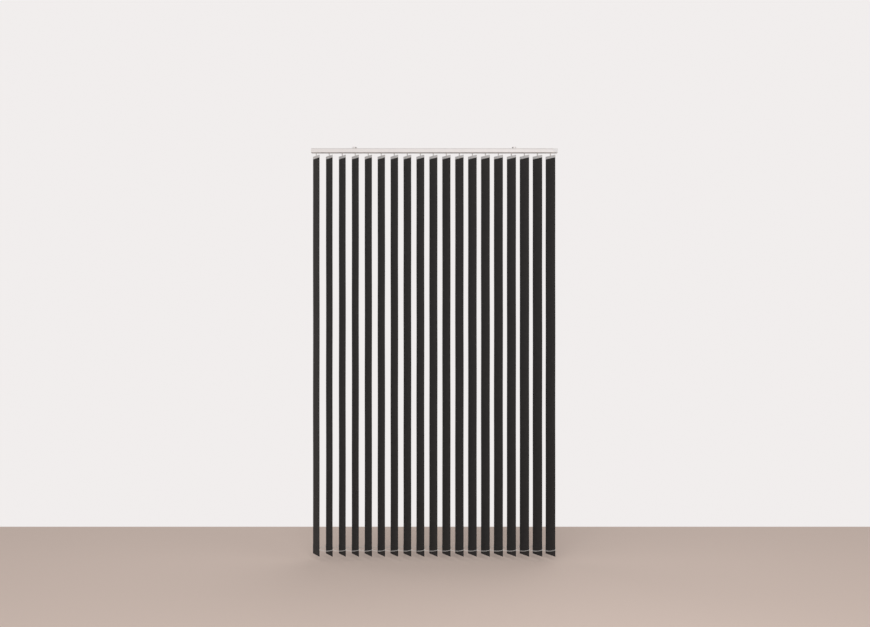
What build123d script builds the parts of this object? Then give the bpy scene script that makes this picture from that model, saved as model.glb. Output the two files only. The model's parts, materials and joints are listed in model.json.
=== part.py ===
"""Vertical blind with nineteen fabric slats on a ceiling-fixed headrail, in millimetres.

X runs along the headrail, the room is on the -Y side and Z points up.
The origin is on the ceiling, midway between the two brackets.
Slats are numbered from the idle end (-X) to the control end (+X), where they stack.
"""
import os
from math import cos, radians, sin

from build123d import *

os.makedirs("parts", exist_ok=True)

# Whole blind
blind_length = 1500.0
slat_count = 19
slat_pitch = 79.4
stack_inset = 15.5
slat_angle = -56.6
bracket_spacing = 974.0

# Headrail profile
rail_depth = 40.0
rail_height = 25.0
rail_drop = 10.0
rail_wall = 1.5
rail_corner = 1.2
rail_slot = 13.0
groove_height = 2.2
groove_depth = 2.5
port_outer = 2.5
port_bore = 1.35
port_side = 13.9
port_bite = 0.6

# Tilt rod, worm and pinion
rod_radius = 2.5
rod_flute = 0.7
rod_level = -21.5
worm_wall = 0.7
worm_step = 0.2
thread_height = 0.7
worm_lead = 2.6
pinion_radius = 4.0
pinion_teeth = 10
running_gap = 0.1
mesh_gap = 0.2

# Runner
runner_length = 16.8
runner_depth = 29.2
runner_top = -16.9
runner_bottom = -31.5
foot_depth = 34.0
foot_width = 7.5
foot_gap = 0.2
end_wall = 1.8
cord_bore = 1.0
cord_level = -20.5
cord_side = 9.8
cord_spread = 3.4

# Spacer strips that set the distance between runners
strip_width = 6.0
strip_thick = 0.25
strip_levels = 6
strip_step = 0.55
strip_side = -9.2
strip_bottom = -29.4
strip_overrun = 6.0
strip_gap = 0.2

# Stem and hook under each runner
stem_radius = 3.0
stem_top = -18.8
stem_floor = -25.0
collar_radius = 3.8
collar_top = -36.0
hook_top = -40.0
hook_bottom = -49.5
hook_width = 6.4
prong_thick = 1.2
hook_pin = 1.1
hook_pin_level = -46.4

# Hanger that grips the head of the fabric
slat_width = 89.0
hanger_top = -52.0
hanger_bottom = -68.4
hanger_leaf = 0.65
hanger_corner = 2.0
ear_width = 7.6
ear_thick = 1.0
ear_top = -43.6
stud_radius = 1.0
stud_count = 5
stud_spacing = 18.0

# Fabric and bottom weight
fabric_thick = 0.45
fabric_top = -54.0
slat_bottom = -2489.4
pocket_height = 62.0
pocket_gap = 1.0
pocket_taper = 12.0
fabric_gap = 0.05
weight_inset = 1.5
weight_thick = 0.9
weight_height = 40.0
weight_corner = 3.0

# Chain forks on the weight, and the two bottom chains
clip_height = 42.0
fork_gap = 0.7
fork_length = 4.9
fork_thick = 1.8
fork_half = 4.2
fork_arm = 1.5
fork_web = 1.0
pin_inset = 1.1
pin_radius = 0.8
ring_outer = 1.5
ring_half = 2.4
chain_radius = 1.6
chain_sag = 7.0

# End pieces
plate_thick = 2.0
plug_length = 16.0
plug_gap = 0.2
control_length = 24.0
control_wall = 1.6
control_plug = 5.8
bush_wall = 1.4
bush_length = 8.0
screw_radius = 1.25
screw_head = 2.5
screw_length = 11.0
pulley_radius = 4.2
pulley_width = 3.2
pulley_pin = 1.25
pulley_groove = 0.9
pulley_clear = 0.8
pulley_from_end = 9.0
wheel_radius = 7.8
wheel_pitch = 6.4
wheel_width = 7.0
wheel_inset = 6.0
bead_pocket = 2.2
bead_count = 8
outlet_width = 5.2
outlet_length = 6.0

# Ceiling brackets and their sprung latches
bracket_width = 24.0
bracket_sheet = 1.5
leg_width = 13.0
leg_thick = 1.2
leg_gap = 0.4
hook_sheet = 1.2
hook_reach = 2.1
screw_hole = 2.25
guide_start = 3.0
guide_end = 17.0
guide_thick = 1.2
guide_level = -7.0
lip_thick = 1.1
lip_reach = 3.5
latch_gap = 0.2
latch_thick = 2.0
latch_start = 6.0
latch_tab = 7.0
spring_outer = 1.8
spring_wire = 0.6
spring_start = 8.5
spring_end = 15.2
tab_thick = 1.2
window_end = 20.0

# Places worked out from the sizes above
rail_top = -rail_drop
rail_bottom = rail_top - rail_height
rail_middle = (rail_top + rail_bottom) / 2
flange_top = rail_bottom + rail_wall
rail_left = -blind_length / 2 + plate_thick
rail_right = blind_length / 2 - plate_thick - control_length
groove_level = rail_top - rail_wall - groove_height / 2
port_level = rail_top - rail_wall - port_outer + port_bite
inner_depth = rail_depth - 2 * rail_wall
wheel_start = rail_right + wheel_inset
worm_hub = rod_radius + running_gap + worm_wall
worm_root = worm_hub + worm_step
worm_radius = worm_root + thread_height
rod_side = pinion_radius + worm_radius + mesh_gap
bush_outer = rod_radius + running_gap + bush_wall
weight_width = slat_width - 2 * weight_inset
fork_start = slat_width / 2 + fork_gap
fork_reach = fork_start + fork_length
pin_reach = fork_reach - pin_inset
last_slat_x = rail_right - stack_inset
slat_places = [last_slat_x - slat_pitch * (slat_count - 1 - n) for n in range(slat_count)]
pin_level = slat_bottom + clip_height
strip_length = slat_pitch + strip_overrun
pulley_level = cord_level - cord_spread
idle_pulley_x = rail_left + pulley_from_end
control_pulley_x = blind_length / 2 - plate_thick - 1.1 * pulley_from_end


def keep(part, name):
    """Label one finished node and write it."""
    part.label = name
    export_step(part, f"parts/{name}.step")


def end_points():
    """Places of the two screw ports in the section, as (y, z)."""
    return [(-port_side, port_level), (port_side, port_level)]


# ---------------------------------------------------------------- headrail
# One extrusion: grooves for the brackets outside, screw ports and a slotted floor inside.
with BuildPart() as headrail:
    with BuildSketch(Plane.YZ.offset(rail_left)) as rail_section:
        with Locations((0, rail_middle)):
            RectangleRounded(rail_depth, rail_height, rail_corner)
        with Locations((-rail_depth / 2, groove_level), (rail_depth / 2, groove_level)):
            Rectangle(2 * groove_depth, groove_height, mode=Mode.SUBTRACT)
        offset(amount=-rail_wall, kind=Kind.INTERSECTION, mode=Mode.SUBTRACT)
        with Locations(*end_points()):
            Circle(port_outer)
        with Locations(*end_points()):
            Circle(port_bore, mode=Mode.SUBTRACT)
        with Locations((0, rail_bottom)):
            Rectangle(rail_slot, 4 * rail_wall, mode=Mode.SUBTRACT)
    extrude(amount=rail_right - rail_left)
keep(headrail.part, "headrail")


# ---------------------------------------------------------------- runners
# Acetal housing that glides on the rail floor, with chambers for the worm and the pinion.
with BuildPart() as housing:
    with BuildSketch(Plane.YZ.offset(-runner_length / 2)) as housing_section:
        with Locations((0, (runner_top + runner_bottom) / 2)):
            RectangleRounded(runner_depth, runner_top - runner_bottom, 0.8)
        foot_bottom = flange_top + foot_gap
        foot_offset = (foot_depth - foot_width) / 2
        with Locations((-foot_offset, foot_bottom + 1.6), (foot_offset, foot_bottom + 1.6)):
            Rectangle(foot_width, 3.2)
    extrude(amount=runner_length)
    with Locations((0, 0, stem_floor)):
        Cylinder(
            pinion_radius + 0.3, runner_top - stem_floor + 1,
            align=(Align.CENTER, Align.CENTER, Align.MIN), mode=Mode.SUBTRACT,
        )
    with Locations((0, 0, runner_bottom - 2)):
        Cylinder(
            stem_radius + running_gap, stem_floor - runner_bottom + 3,
            align=(Align.CENTER, Align.CENTER, Align.MIN), mode=Mode.SUBTRACT,
        )
    with BuildSketch(Plane.YZ.offset(-runner_length / 2 + end_wall)) as worm_chamber:
        with Locations((rod_side, rod_level)):
            Circle(worm_radius + 0.3)
    extrude(amount=runner_length - 2 * end_wall, mode=Mode.SUBTRACT)
    with BuildSketch(Plane.YZ.offset(-runner_length / 2)) as through_holes:
        with Locations((rod_side, rod_level)):
            Circle(worm_hub + running_gap)
        cord_sides = [-cord_side - cord_spread, -cord_side + cord_spread]
        with Locations(*[(side, cord_level) for side in cord_sides]):
            Circle(cord_bore)
        strip_window = strip_levels * strip_step + strip_step / 2
        with Locations((strip_side, strip_bottom + strip_window / 2 - strip_step / 2)):
            Rectangle(strip_width + 2 * strip_gap, strip_window)
    extrude(amount=runner_length, mode=Mode.SUBTRACT)

# Worm: a sleeve on the rod with a raised thread in the middle.
worm_half = runner_length / 2 - end_wall - mesh_gap
with BuildPart() as worm:
    with BuildSketch(Plane.XZ) as worm_profile:
        with BuildLine():
            hub_end = runner_length / 2 - 0.1
            bore = rod_radius + running_gap
            ridges = int(2 * worm_half / worm_lead)
            points = [(-hub_end, bore), (-hub_end, worm_hub), (-worm_half, worm_hub)]
            for ridge in range(ridges):
                start = (ridge - ridges / 2) * worm_lead
                points.append((start + 0.20 * worm_lead, worm_root))
                points.append((start + 0.40 * worm_lead, worm_radius))
                points.append((start + 0.60 * worm_lead, worm_radius))
                points.append((start + 0.80 * worm_lead, worm_root))
            points += [(worm_half, worm_hub), (hub_end, worm_hub), (hub_end, bore)]
            Polyline(*points, close=True)
        make_face()
    revolve(axis=Axis.X)


def make_strip(level):
    """Spacer strip of one runner: its head fills the slot, its tail reaches the runner before."""
    height = strip_bottom + level * strip_step
    with BuildPart() as strip:
        with BuildSketch(Plane.XY.offset(height)):
            with Locations((0, strip_side)):
                Rectangle(runner_length - 4, strip_width + 2 * strip_gap)
            with Locations((-strip_length / 2, strip_side)):
                Rectangle(strip_length, strip_width)
        extrude(amount=strip_thick)
    return strip.part


for number, x in enumerate(slat_places, start=1):
    with BuildPart() as runner:
        with Locations((x, 0, 0)):
            add(housing.part)
        with Locations((x, rod_side, rod_level)):
            add(worm.part)
    pieces = list(runner.part.solids())
    if number > 1:
        pieces += make_strip(number % strip_levels).moved(Location((x, 0, 0))).solids()
    keep(Compound(pieces), f"runner_{number:02d}")


# ---------------------------------------------------------------- slats
# Each slat is drawn along X with its room-side end at +X, then turned about its stem.
with BuildPart() as stem:
    with BuildSketch(Plane.XY.offset(stem_floor + mesh_gap)):
        Circle(pinion_radius)
        with PolarLocations(pinion_radius, pinion_teeth):
            Circle(0.55, mode=Mode.SUBTRACT)
    extrude(amount=stem_top - stem_floor - mesh_gap)
    with BuildSketch(Plane.XY.offset(collar_top)):
        Circle(stem_radius)
    extrude(amount=stem_floor + mesh_gap - collar_top)
    with BuildSketch(Plane.XY.offset(hook_top)):
        Circle(collar_radius)
    extrude(amount=collar_top - hook_top)
    prong_offset = (ear_thick + 2 * fabric_gap + prong_thick) / 2
    with BuildSketch(Plane.XZ):
        with Locations((0, (hook_top + hook_bottom) / 2)):
            RectangleRounded(hook_width, hook_top - hook_bottom, 1.2)
        with Locations((0, hook_top)):
            Rectangle(hook_width, 3)
    extrude(amount=prong_offset + prong_thick / 2, both=True)
    with Locations((0, 0, (ear_top + hook_bottom) / 2)):
        Box(
            2 * hook_width, ear_thick + 2 * fabric_gap, ear_top - hook_bottom + 0.4,
            mode=Mode.SUBTRACT,
        )
    with BuildSketch(Plane.XZ):
        with Locations((0, hook_pin_level)):
            Circle(hook_pin)
    extrude(amount=prong_offset, both=True)

hanger_thick = 2 * hanger_leaf + fabric_thick + 2 * fabric_gap
with BuildPart() as hanger:
    with BuildSketch(Plane.XZ):
        with Locations((0, (hanger_top + hanger_bottom) / 2)):
            RectangleRounded(slat_width, hanger_top - hanger_bottom, hanger_corner)
    extrude(amount=hanger_thick / 2, both=True)
    with BuildSketch(Plane.XZ):
        with Locations((0, (ear_top + hanger_top) / 2 - 1)):
            RectangleRounded(ear_width, ear_top - hanger_top + 2, 1.5)
    extrude(amount=ear_thick / 2, both=True)
    with BuildSketch(Plane.XZ):
        with Locations((0, hook_pin_level)):
            Circle(hook_pin + running_gap)
    extrude(amount=ear_thick, both=True, mode=Mode.SUBTRACT)
    grip_top = fabric_top + fabric_gap
    with Locations((0, 0, (grip_top + hanger_bottom) / 2)):
        Box(
            2 * slat_width, fabric_thick + 2 * fabric_gap, grip_top - hanger_bottom + 0.001,
            mode=Mode.SUBTRACT,
        )
    stud_level = (fabric_top + hanger_bottom) / 2
    with BuildSketch(Plane.XZ):
        with Locations((0, stud_level)):
            with GridLocations(stud_spacing, 1, stud_count, 1):
                Circle(stud_radius)
    extrude(amount=fabric_thick / 2 + fabric_gap, both=True)

pocket_top = slat_bottom + pocket_height
pocket_half = pocket_gap / 2 + fabric_thick
taper_end = pocket_top - pocket_taper
with BuildPart() as fabric:
    with BuildSketch(Plane.YZ):
        with BuildLine():
            outer = [
                (fabric_thick / 2, fabric_top), (fabric_thick / 2, pocket_top),
                (fabric_thick, pocket_top - 0.5), (fabric_thick, pocket_top - 4),
                (pocket_half, taper_end), (pocket_half, slat_bottom + pocket_half),
            ]
            Polyline(*outer)
            ThreePointArc(
                (pocket_half, slat_bottom + pocket_half), (0, slat_bottom),
                (-pocket_half, slat_bottom + pocket_half),
            )
            Polyline(*[(-side, level) for side, level in reversed(outer)])
            Line((-fabric_thick / 2, fabric_top), (fabric_thick / 2, fabric_top))
        make_face()
        with BuildLine():
            lower = slat_bottom + pocket_half
            inner = [
                (pocket_gap / 2, lower), (pocket_gap / 2, taper_end),
                (0, pocket_top - 4 - fabric_thick), (-pocket_gap / 2, taper_end),
                (-pocket_gap / 2, lower),
            ]
            Polyline(*inner)
            ThreePointArc(
                (-pocket_gap / 2, lower), (0, slat_bottom + fabric_thick),
                (pocket_gap / 2, lower),
            )
        make_face(mode=Mode.SUBTRACT)
    extrude(amount=slat_width / 2, both=True)
    with BuildSketch(Plane.XZ):
        with Locations((0, stud_level)):
            with GridLocations(stud_spacing, 1, stud_count, 1):
                Circle(stud_radius + running_gap)
    extrude(amount=fabric_thick, both=True, mode=Mode.SUBTRACT)

weight_bottom = slat_bottom + fabric_thick + pocket_gap / 2
with BuildPart() as weight:
    with BuildSketch(Plane.XZ):
        with Locations((0, weight_bottom + weight_height / 2)):
            RectangleRounded(weight_width, weight_height, weight_corner)
        neck_low = pin_level - fork_half
        neck_high = min(pin_level + fork_half, weight_bottom + weight_height)
        with Locations((0, (neck_low + neck_high) / 2)):
            Rectangle(2 * fork_start + 1, neck_high - neck_low)
    extrude(amount=weight_thick / 2, both=True)
    with BuildSketch(Plane.XZ):
        fork_middle = (fork_start + fork_reach) / 2
        with Locations((-fork_middle, pin_level), (fork_middle, pin_level)):
            RectangleRounded(fork_reach - fork_start, 2 * fork_half, 0.5)
    extrude(amount=fork_thick / 2, both=True)
    with BuildSketch(Plane.XZ):
        window = fork_reach - fork_start - fork_web
        window_middle = fork_reach - window / 2 + 0.5
        with Locations((-window_middle, pin_level), (window_middle, pin_level)):
            Rectangle(window + 1, 2 * (fork_half - fork_arm))
    extrude(amount=fork_thick, both=True, mode=Mode.SUBTRACT)
    with BuildSketch(Plane.XY.offset(pin_level - fork_half + fork_arm / 2)):
        with Locations((-pin_reach, 0), (pin_reach, 0)):
            Circle(pin_radius)
    extrude(amount=2 * fork_half - fork_arm)

for number, x in enumerate(slat_places, start=1):
    place = Location((x, 0, 0), (0, 0, slat_angle))
    pieces = []
    for piece in (stem, hanger, fabric, weight):
        pieces += piece.part.moved(place).solids()
    keep(Compound(pieces), f"slat_{number:02d}")


# ---------------------------------------------------------------- bottom chains
def make_chain(side):
    """One chain with a ring on every slat's fork pin and an even sag between rings."""
    reach = side * pin_reach
    shift = reach * cos(radians(slat_angle))
    depth = reach * sin(radians(slat_angle))
    places = [x + shift for x in slat_places]
    with BuildPart() as chain:
        for start, end in zip(places, places[1:]):
            with BuildLine(Plane.XZ.offset(-depth)) as span:
                ThreePointArc(
                    (start, pin_level), ((start + end) / 2, pin_level - chain_sag),
                    (end, pin_level),
                )
            with BuildSketch(Plane(span.line @ 0, z_dir=span.line % 0)):
                Circle(chain_radius)
            sweep(path=span.line)
        with BuildSketch(Plane.XY.offset(pin_level - ring_half)):
            with Locations(*[(x, depth) for x in places]):
                Circle(ring_outer)
        extrude(amount=2 * ring_half)
        with BuildSketch(Plane.XY.offset(pin_level - 2 * ring_half)):
            with Locations(*[(x, depth) for x in places]):
                Circle(pin_radius + running_gap)
        extrude(amount=4 * ring_half, mode=Mode.SUBTRACT)
    return chain.part


keep(make_chain(1), "front_chain")
keep(make_chain(-1), "rear_chain")


# ---------------------------------------------------------------- tilt rod
rod_left = rail_left + 3
rod_right = wheel_start + wheel_width + 4
with BuildPart() as tilt_rod:
    with BuildSketch(Plane.YZ.offset(rod_left)):
        with Locations((rod_side, rod_level)):
            Circle(rod_radius)
            with PolarLocations(rod_radius, 3):
                Circle(rod_flute, mode=Mode.SUBTRACT)
    extrude(amount=rod_right - rod_left)
keep(tilt_rod.part, "tilt_rod")

# Wheel for a beaded control chain, fixed on the end of the rod.
with BuildPart() as chain_wheel:
    with BuildSketch(Plane.YZ.offset(wheel_start)):
        with Locations((rod_side, rod_level)):
            Circle(wheel_radius)
            Circle(rod_radius + fabric_gap, mode=Mode.SUBTRACT)
    extrude(amount=wheel_width)
    wheel_plane = Plane((wheel_start + wheel_width / 2, rod_side, rod_level), z_dir=(1, 0, 0))
    with Locations(wheel_plane):
        with PolarLocations(wheel_radius, bead_count):
            Sphere(bead_pocket, mode=Mode.SUBTRACT)
keep(chain_wheel.part, "chain_wheel")


# ---------------------------------------------------------------- idle end
cap_left = rail_left - plate_thick
plug_top = port_level - port_outer - plug_gap
plug_bottom = flange_top + plug_gap
plug_depth = inner_depth - 2 * plug_gap
with BuildPart() as idle_end_cap:
    with BuildSketch(Plane.YZ.offset(cap_left)):
        with Locations((0, rail_middle)):
            RectangleRounded(rail_depth, rail_height, rail_corner)
    extrude(amount=plate_thick)
    with BuildSketch(Plane.YZ.offset(rail_left)):
        with Locations((0, (plug_top + plug_bottom) / 2)):
            RectangleRounded(plug_depth, plug_top - plug_bottom, 1.0)
    extrude(amount=plug_length)
    with BuildSketch(Plane.YZ.offset(rail_left + plug_length)):
        with Locations((rod_side, rod_level)):
            Circle(bush_outer)
    extrude(amount=-bush_length, mode=Mode.SUBTRACT)
    with BuildSketch(Plane.YZ.offset(rod_left - 0.5)):
        with Locations((rod_side, rod_level)):
            Circle(rod_radius + 0.4)
    extrude(amount=plug_length, mode=Mode.SUBTRACT)
    pulley_slot = pulley_width + 2 * plug_gap
    slot_half = pulley_radius + pulley_clear
    with BuildSketch(Plane.XY.offset(cord_level - pulley_slot / 2)):
        with Locations((idle_pulley_x, -cord_side)):
            Circle(slot_half)
        slot_end = rail_left + plug_length + 1
        with Locations(((idle_pulley_x + slot_end) / 2, -cord_side)):
            Rectangle(slot_end - idle_pulley_x, 2 * slot_half)
    extrude(amount=pulley_slot, mode=Mode.SUBTRACT)
    pin_bottom = cord_level - 6
    with BuildSketch(Plane.XY.offset(pin_bottom)):
        with Locations((idle_pulley_x, -cord_side)):
            Circle(pulley_pin)
    extrude(amount=plug_top - pin_bottom, mode=Mode.SUBTRACT)
    with Locations(*[Plane((cap_left, y, z), z_dir=(-1, 0, 0)) for y, z in end_points()]):
        CounterSinkHole(screw_radius + running_gap, screw_head + running_gap, 3 * plate_thick)
keep(idle_end_cap.part, "idle_end_cap")

with BuildPart() as rod_bush:
    with BuildSketch(Plane.YZ.offset(rail_left + plug_length - bush_length)):
        with Locations((rod_side, rod_level)):
            Circle(bush_outer)
            Circle(rod_radius + running_gap, mode=Mode.SUBTRACT)
    extrude(amount=bush_length)
keep(rod_bush.part, "rod_bush")


def make_pulley(center, axis):
    """Grooved cord pulley with a bore that turns on its pin."""
    with BuildPart() as pulley:
        with BuildSketch(Plane(center, z_dir=axis)):
            Circle(pulley_radius)
            Circle(pulley_pin + running_gap, mode=Mode.SUBTRACT)
        extrude(amount=pulley_width / 2, both=True)
        with Locations(Plane(center, z_dir=axis)):
            Torus(pulley_radius + 0.1, pulley_groove, mode=Mode.SUBTRACT)
    return pulley.part


keep(make_pulley((idle_pulley_x, -cord_side, cord_level), (0, 0, 1)), "idle_pulley")

with BuildPart() as idle_pulley_pin:
    with BuildSketch(Plane.XY.offset(pin_bottom)):
        with Locations((idle_pulley_x, -cord_side)):
            Circle(pulley_pin)
    extrude(amount=plug_top - pin_bottom)
keep(idle_pulley_pin.part, "idle_pulley_pin")


def make_end_screws(face, inward):
    """Two countersunk screws that hold an end plate, driven along X from its outer face."""
    with BuildPart() as screws:
        for y, z in end_points():
            with BuildSketch(Plane((face, y, z), z_dir=(inward, 0, 0))):
                Circle(screw_radius)
            extrude(amount=screw_length)
            with BuildSketch(Plane((face, y, z), z_dir=(inward, 0, 0))):
                Circle(screw_head)
            extrude(amount=screw_head - screw_radius, taper=45)
            with Locations((face, y, z)):
                Box(0.8, 2.6, 0.6, mode=Mode.SUBTRACT)
                Box(0.8, 0.6, 2.6, mode=Mode.SUBTRACT)
    return screws.part


keep(make_end_screws(cap_left, 1), "idle_cap_screws")


# ---------------------------------------------------------------- control end
control_right = rail_right + control_length
cavity_left = rail_right + 3.0
wall_depth = rail_depth - 2 * control_wall
with BuildPart() as control_housing:
    with BuildSketch(Plane.YZ.offset(rail_right)):
        with Locations((0, rail_middle)):
            RectangleRounded(rail_depth, rail_height, rail_corner)
    extrude(amount=control_length)
    with BuildSketch(Plane.YZ.offset(cavity_left)):
        with Locations((0, rail_middle)):
            Rectangle(wall_depth, rail_height - 2 * control_wall)
    extrude(amount=control_length, mode=Mode.SUBTRACT)
    with BuildSketch(Plane.YZ.offset(rail_right)):
        with Locations((0, (plug_top + plug_bottom) / 2)):
            RectangleRounded(plug_depth, plug_top - plug_bottom, 1.0)
    extrude(amount=-control_plug)
    boss_left = wheel_start + wheel_width + 0.6
    with BuildSketch(Plane.YZ.offset(boss_left)):
        with Locations(*end_points()):
            Circle(port_outer)
    extrude(amount=control_right - boss_left)
    with BuildSketch(Plane.YZ.offset(control_right)):
        with Locations(*end_points()):
            Circle(port_bore)
    extrude(amount=-screw_length, mode=Mode.SUBTRACT)
    with BuildSketch(Plane.YZ.offset(rail_right - control_plug)):
        with Locations((rod_side, rod_level)):
            Circle(rod_radius + running_gap)
        with Locations(*[(side, cord_level) for side in cord_sides]):
            Circle(cord_bore + 0.3)
    extrude(amount=control_plug + 3.0, mode=Mode.SUBTRACT)
    web_side = cord_sides[1] + pulley_width / 2 + 1.4
    with BuildSketch(Plane.XZ.offset(-web_side)):
        with Locations((control_pulley_x, pulley_level)):
            Circle(2 * pulley_pin)
        with Locations((control_pulley_x, (pulley_level + rail_bottom) / 2)):
            Rectangle(4 * pulley_pin, pulley_level - rail_bottom)
    extrude(amount=1.0, both=True)
    with BuildSketch(Plane.XZ.offset(-web_side)):
        with Locations((control_pulley_x, pulley_level)):
            Circle(pulley_pin)
    extrude(amount=web_side + wall_depth / 2 + 1.4, both=True, mode=Mode.SUBTRACT)
    with BuildSketch(Plane.XY.offset(rail_bottom)):
        wheel_middle = wheel_start + wheel_width / 2
        with Locations((wheel_middle, rod_side)):
            with GridLocations(1, 2 * wheel_pitch, 1, 2):
                Rectangle(outlet_length, outlet_width)
        with Locations(*[(control_pulley_x + cord_spread, side) for side in cord_sides]):
            Circle(cord_bore + 0.8)
    extrude(amount=control_wall, mode=Mode.SUBTRACT)
keep(control_housing.part, "control_housing")

pin_start = -rail_depth / 2 + 0.2
with BuildPart() as cord_pulley_pin:
    with BuildSketch(Plane.XZ.offset(-pin_start)):
        with Locations((control_pulley_x, pulley_level)):
            Circle(pulley_pin)
    extrude(amount=-(web_side + 1.0 - pin_start))
keep(cord_pulley_pin.part, "cord_pulley_pin")

keep(
    make_pulley((control_pulley_x, cord_sides[0], pulley_level), (0, 1, 0)),
    "front_cord_pulley",
)
keep(
    make_pulley((control_pulley_x, cord_sides[1], pulley_level), (0, 1, 0)),
    "rear_cord_pulley",
)

with BuildPart() as control_cover:
    with BuildSketch(Plane.YZ.offset(control_right)):
        with Locations((0, rail_middle)):
            RectangleRounded(rail_depth, rail_height, rail_corner)
    extrude(amount=plate_thick)
    with BuildSketch(Plane.YZ.offset(control_right)):
        with Locations((rod_side, rod_level)):
            Circle(bush_outer)
    extrude(amount=-(control_right - wheel_start - wheel_width - 0.6))
    with BuildSketch(Plane.YZ.offset(control_right - 0.5)):
        with Locations((rod_side, rod_level)):
            Circle(rod_radius + running_gap)
    extrude(amount=-(control_right - wheel_start), mode=Mode.SUBTRACT)
    cover_face = control_right + plate_thick
    with Locations(*[Plane((cover_face, y, z), z_dir=(1, 0, 0)) for y, z in end_points()]):
        CounterSinkHole(screw_radius + running_gap, screw_head + running_gap, 2 * plate_thick)
keep(control_cover.part, "control_cover")
keep(make_end_screws(cover_face, -1), "cover_screws")


# ---------------------------------------------------------------- ceiling brackets
# Folded plate: front leg hooked into the rail groove, guides behind for the latch.
leg_inner = rail_depth / 2 + leg_gap
leg_outer = leg_inner + leg_thick
hook_face = rail_top - rail_wall
hook_tip = rail_depth / 2 - hook_reach
guide_outer = bracket_width / 2
latch_half = guide_outer - guide_thick - latch_gap
latch_bottom = guide_level + lip_thick + latch_gap


def make_bracket(x):
    """Fixed half of one bracket."""
    with BuildPart() as bracket:
        with BuildSketch(Plane.XY):
            with Locations((x, guide_end / 2 - 6)):
                RectangleRounded(bracket_width, guide_end + 12, 2.5)
            with Locations((x, -leg_outer / 2)):
                Rectangle(leg_width, leg_outer)
            with Locations((x, 0)):
                Circle(screw_hole, mode=Mode.SUBTRACT)
        extrude(amount=-bracket_sheet)
        with BuildSketch(Plane.YZ.offset(x)):
            with BuildLine():
                Polyline(
                    (-leg_outer, 0), (-leg_inner, 0), (-leg_inner, hook_face),
                    (-hook_tip, hook_face), (-hook_tip, hook_face - hook_sheet),
                    (-leg_outer, hook_face - hook_sheet), close=True,
                )
            make_face()
        extrude(amount=leg_width / 2, both=True)
        with BuildSketch(Plane.XZ.offset(-guide_start)):
            for side in (-1, 1):
                with Locations((x + side * (guide_outer - guide_thick / 2), guide_level / 2)):
                    Rectangle(guide_thick, -guide_level)
                lip_middle = x + side * (guide_outer - lip_reach / 2)
                with Locations((lip_middle, guide_level + lip_thick / 2)):
                    Rectangle(lip_reach, lip_thick)
        extrude(amount=-(guide_end - guide_start - 2.5))
        with Locations((x, spring_end + tab_thick / 2, guide_level / 2)):
            Box(2.6 * spring_outer, tab_thick, -guide_level)
    return bracket.part


def make_latch(x):
    """Sliding half of one bracket, with the rear hook and a finger tab."""
    with BuildPart() as latch:
        with BuildSketch(Plane.XY.offset(latch_bottom)):
            with Locations((x, (latch_start + guide_end) / 2)):
                Rectangle(2 * latch_half, guide_end - latch_start)
            with Locations((x, (guide_end + leg_outer) / 2)):
                Rectangle(leg_width, leg_outer - guide_end)
            with Locations((x, (spring_start + window_end) / 2)):
                Rectangle(3 * spring_outer, window_end - spring_start, mode=Mode.SUBTRACT)
        extrude(amount=latch_thick)
        tongue = hook_face - running_gap
        with BuildSketch(Plane.YZ.offset(x)):
            with BuildLine():
                Polyline(
                    (leg_outer, latch_bottom + latch_thick), (leg_inner, latch_bottom + latch_thick),
                    (leg_inner, tongue), (hook_tip, tongue), (hook_tip, tongue - hook_sheet),
                    (leg_outer + latch_tab, tongue - hook_sheet), (leg_outer + latch_tab, tongue),
                    (leg_outer, tongue), close=True,
                )
            make_face()
        extrude(amount=leg_width / 2, both=True)
    return latch.part


def make_latch_spring(x):
    """Space taken by the coil spring that pushes the latch home."""
    with BuildPart() as spring:
        with BuildSketch(Plane.XZ.offset(-spring_start)):
            with Locations((x, latch_bottom + latch_thick / 2)):
                Circle(spring_outer)
                Circle(spring_outer - spring_wire, mode=Mode.SUBTRACT)
        extrude(amount=-(spring_end - spring_start))
    return spring.part


for name, x in (("left", -bracket_spacing / 2), ("right", bracket_spacing / 2)):
    keep(make_bracket(x), f"{name}_bracket")
    keep(make_latch(x), f"{name}_latch")
    keep(make_latch_spring(x), f"{name}_latch_spring")
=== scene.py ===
import json
import math

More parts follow.
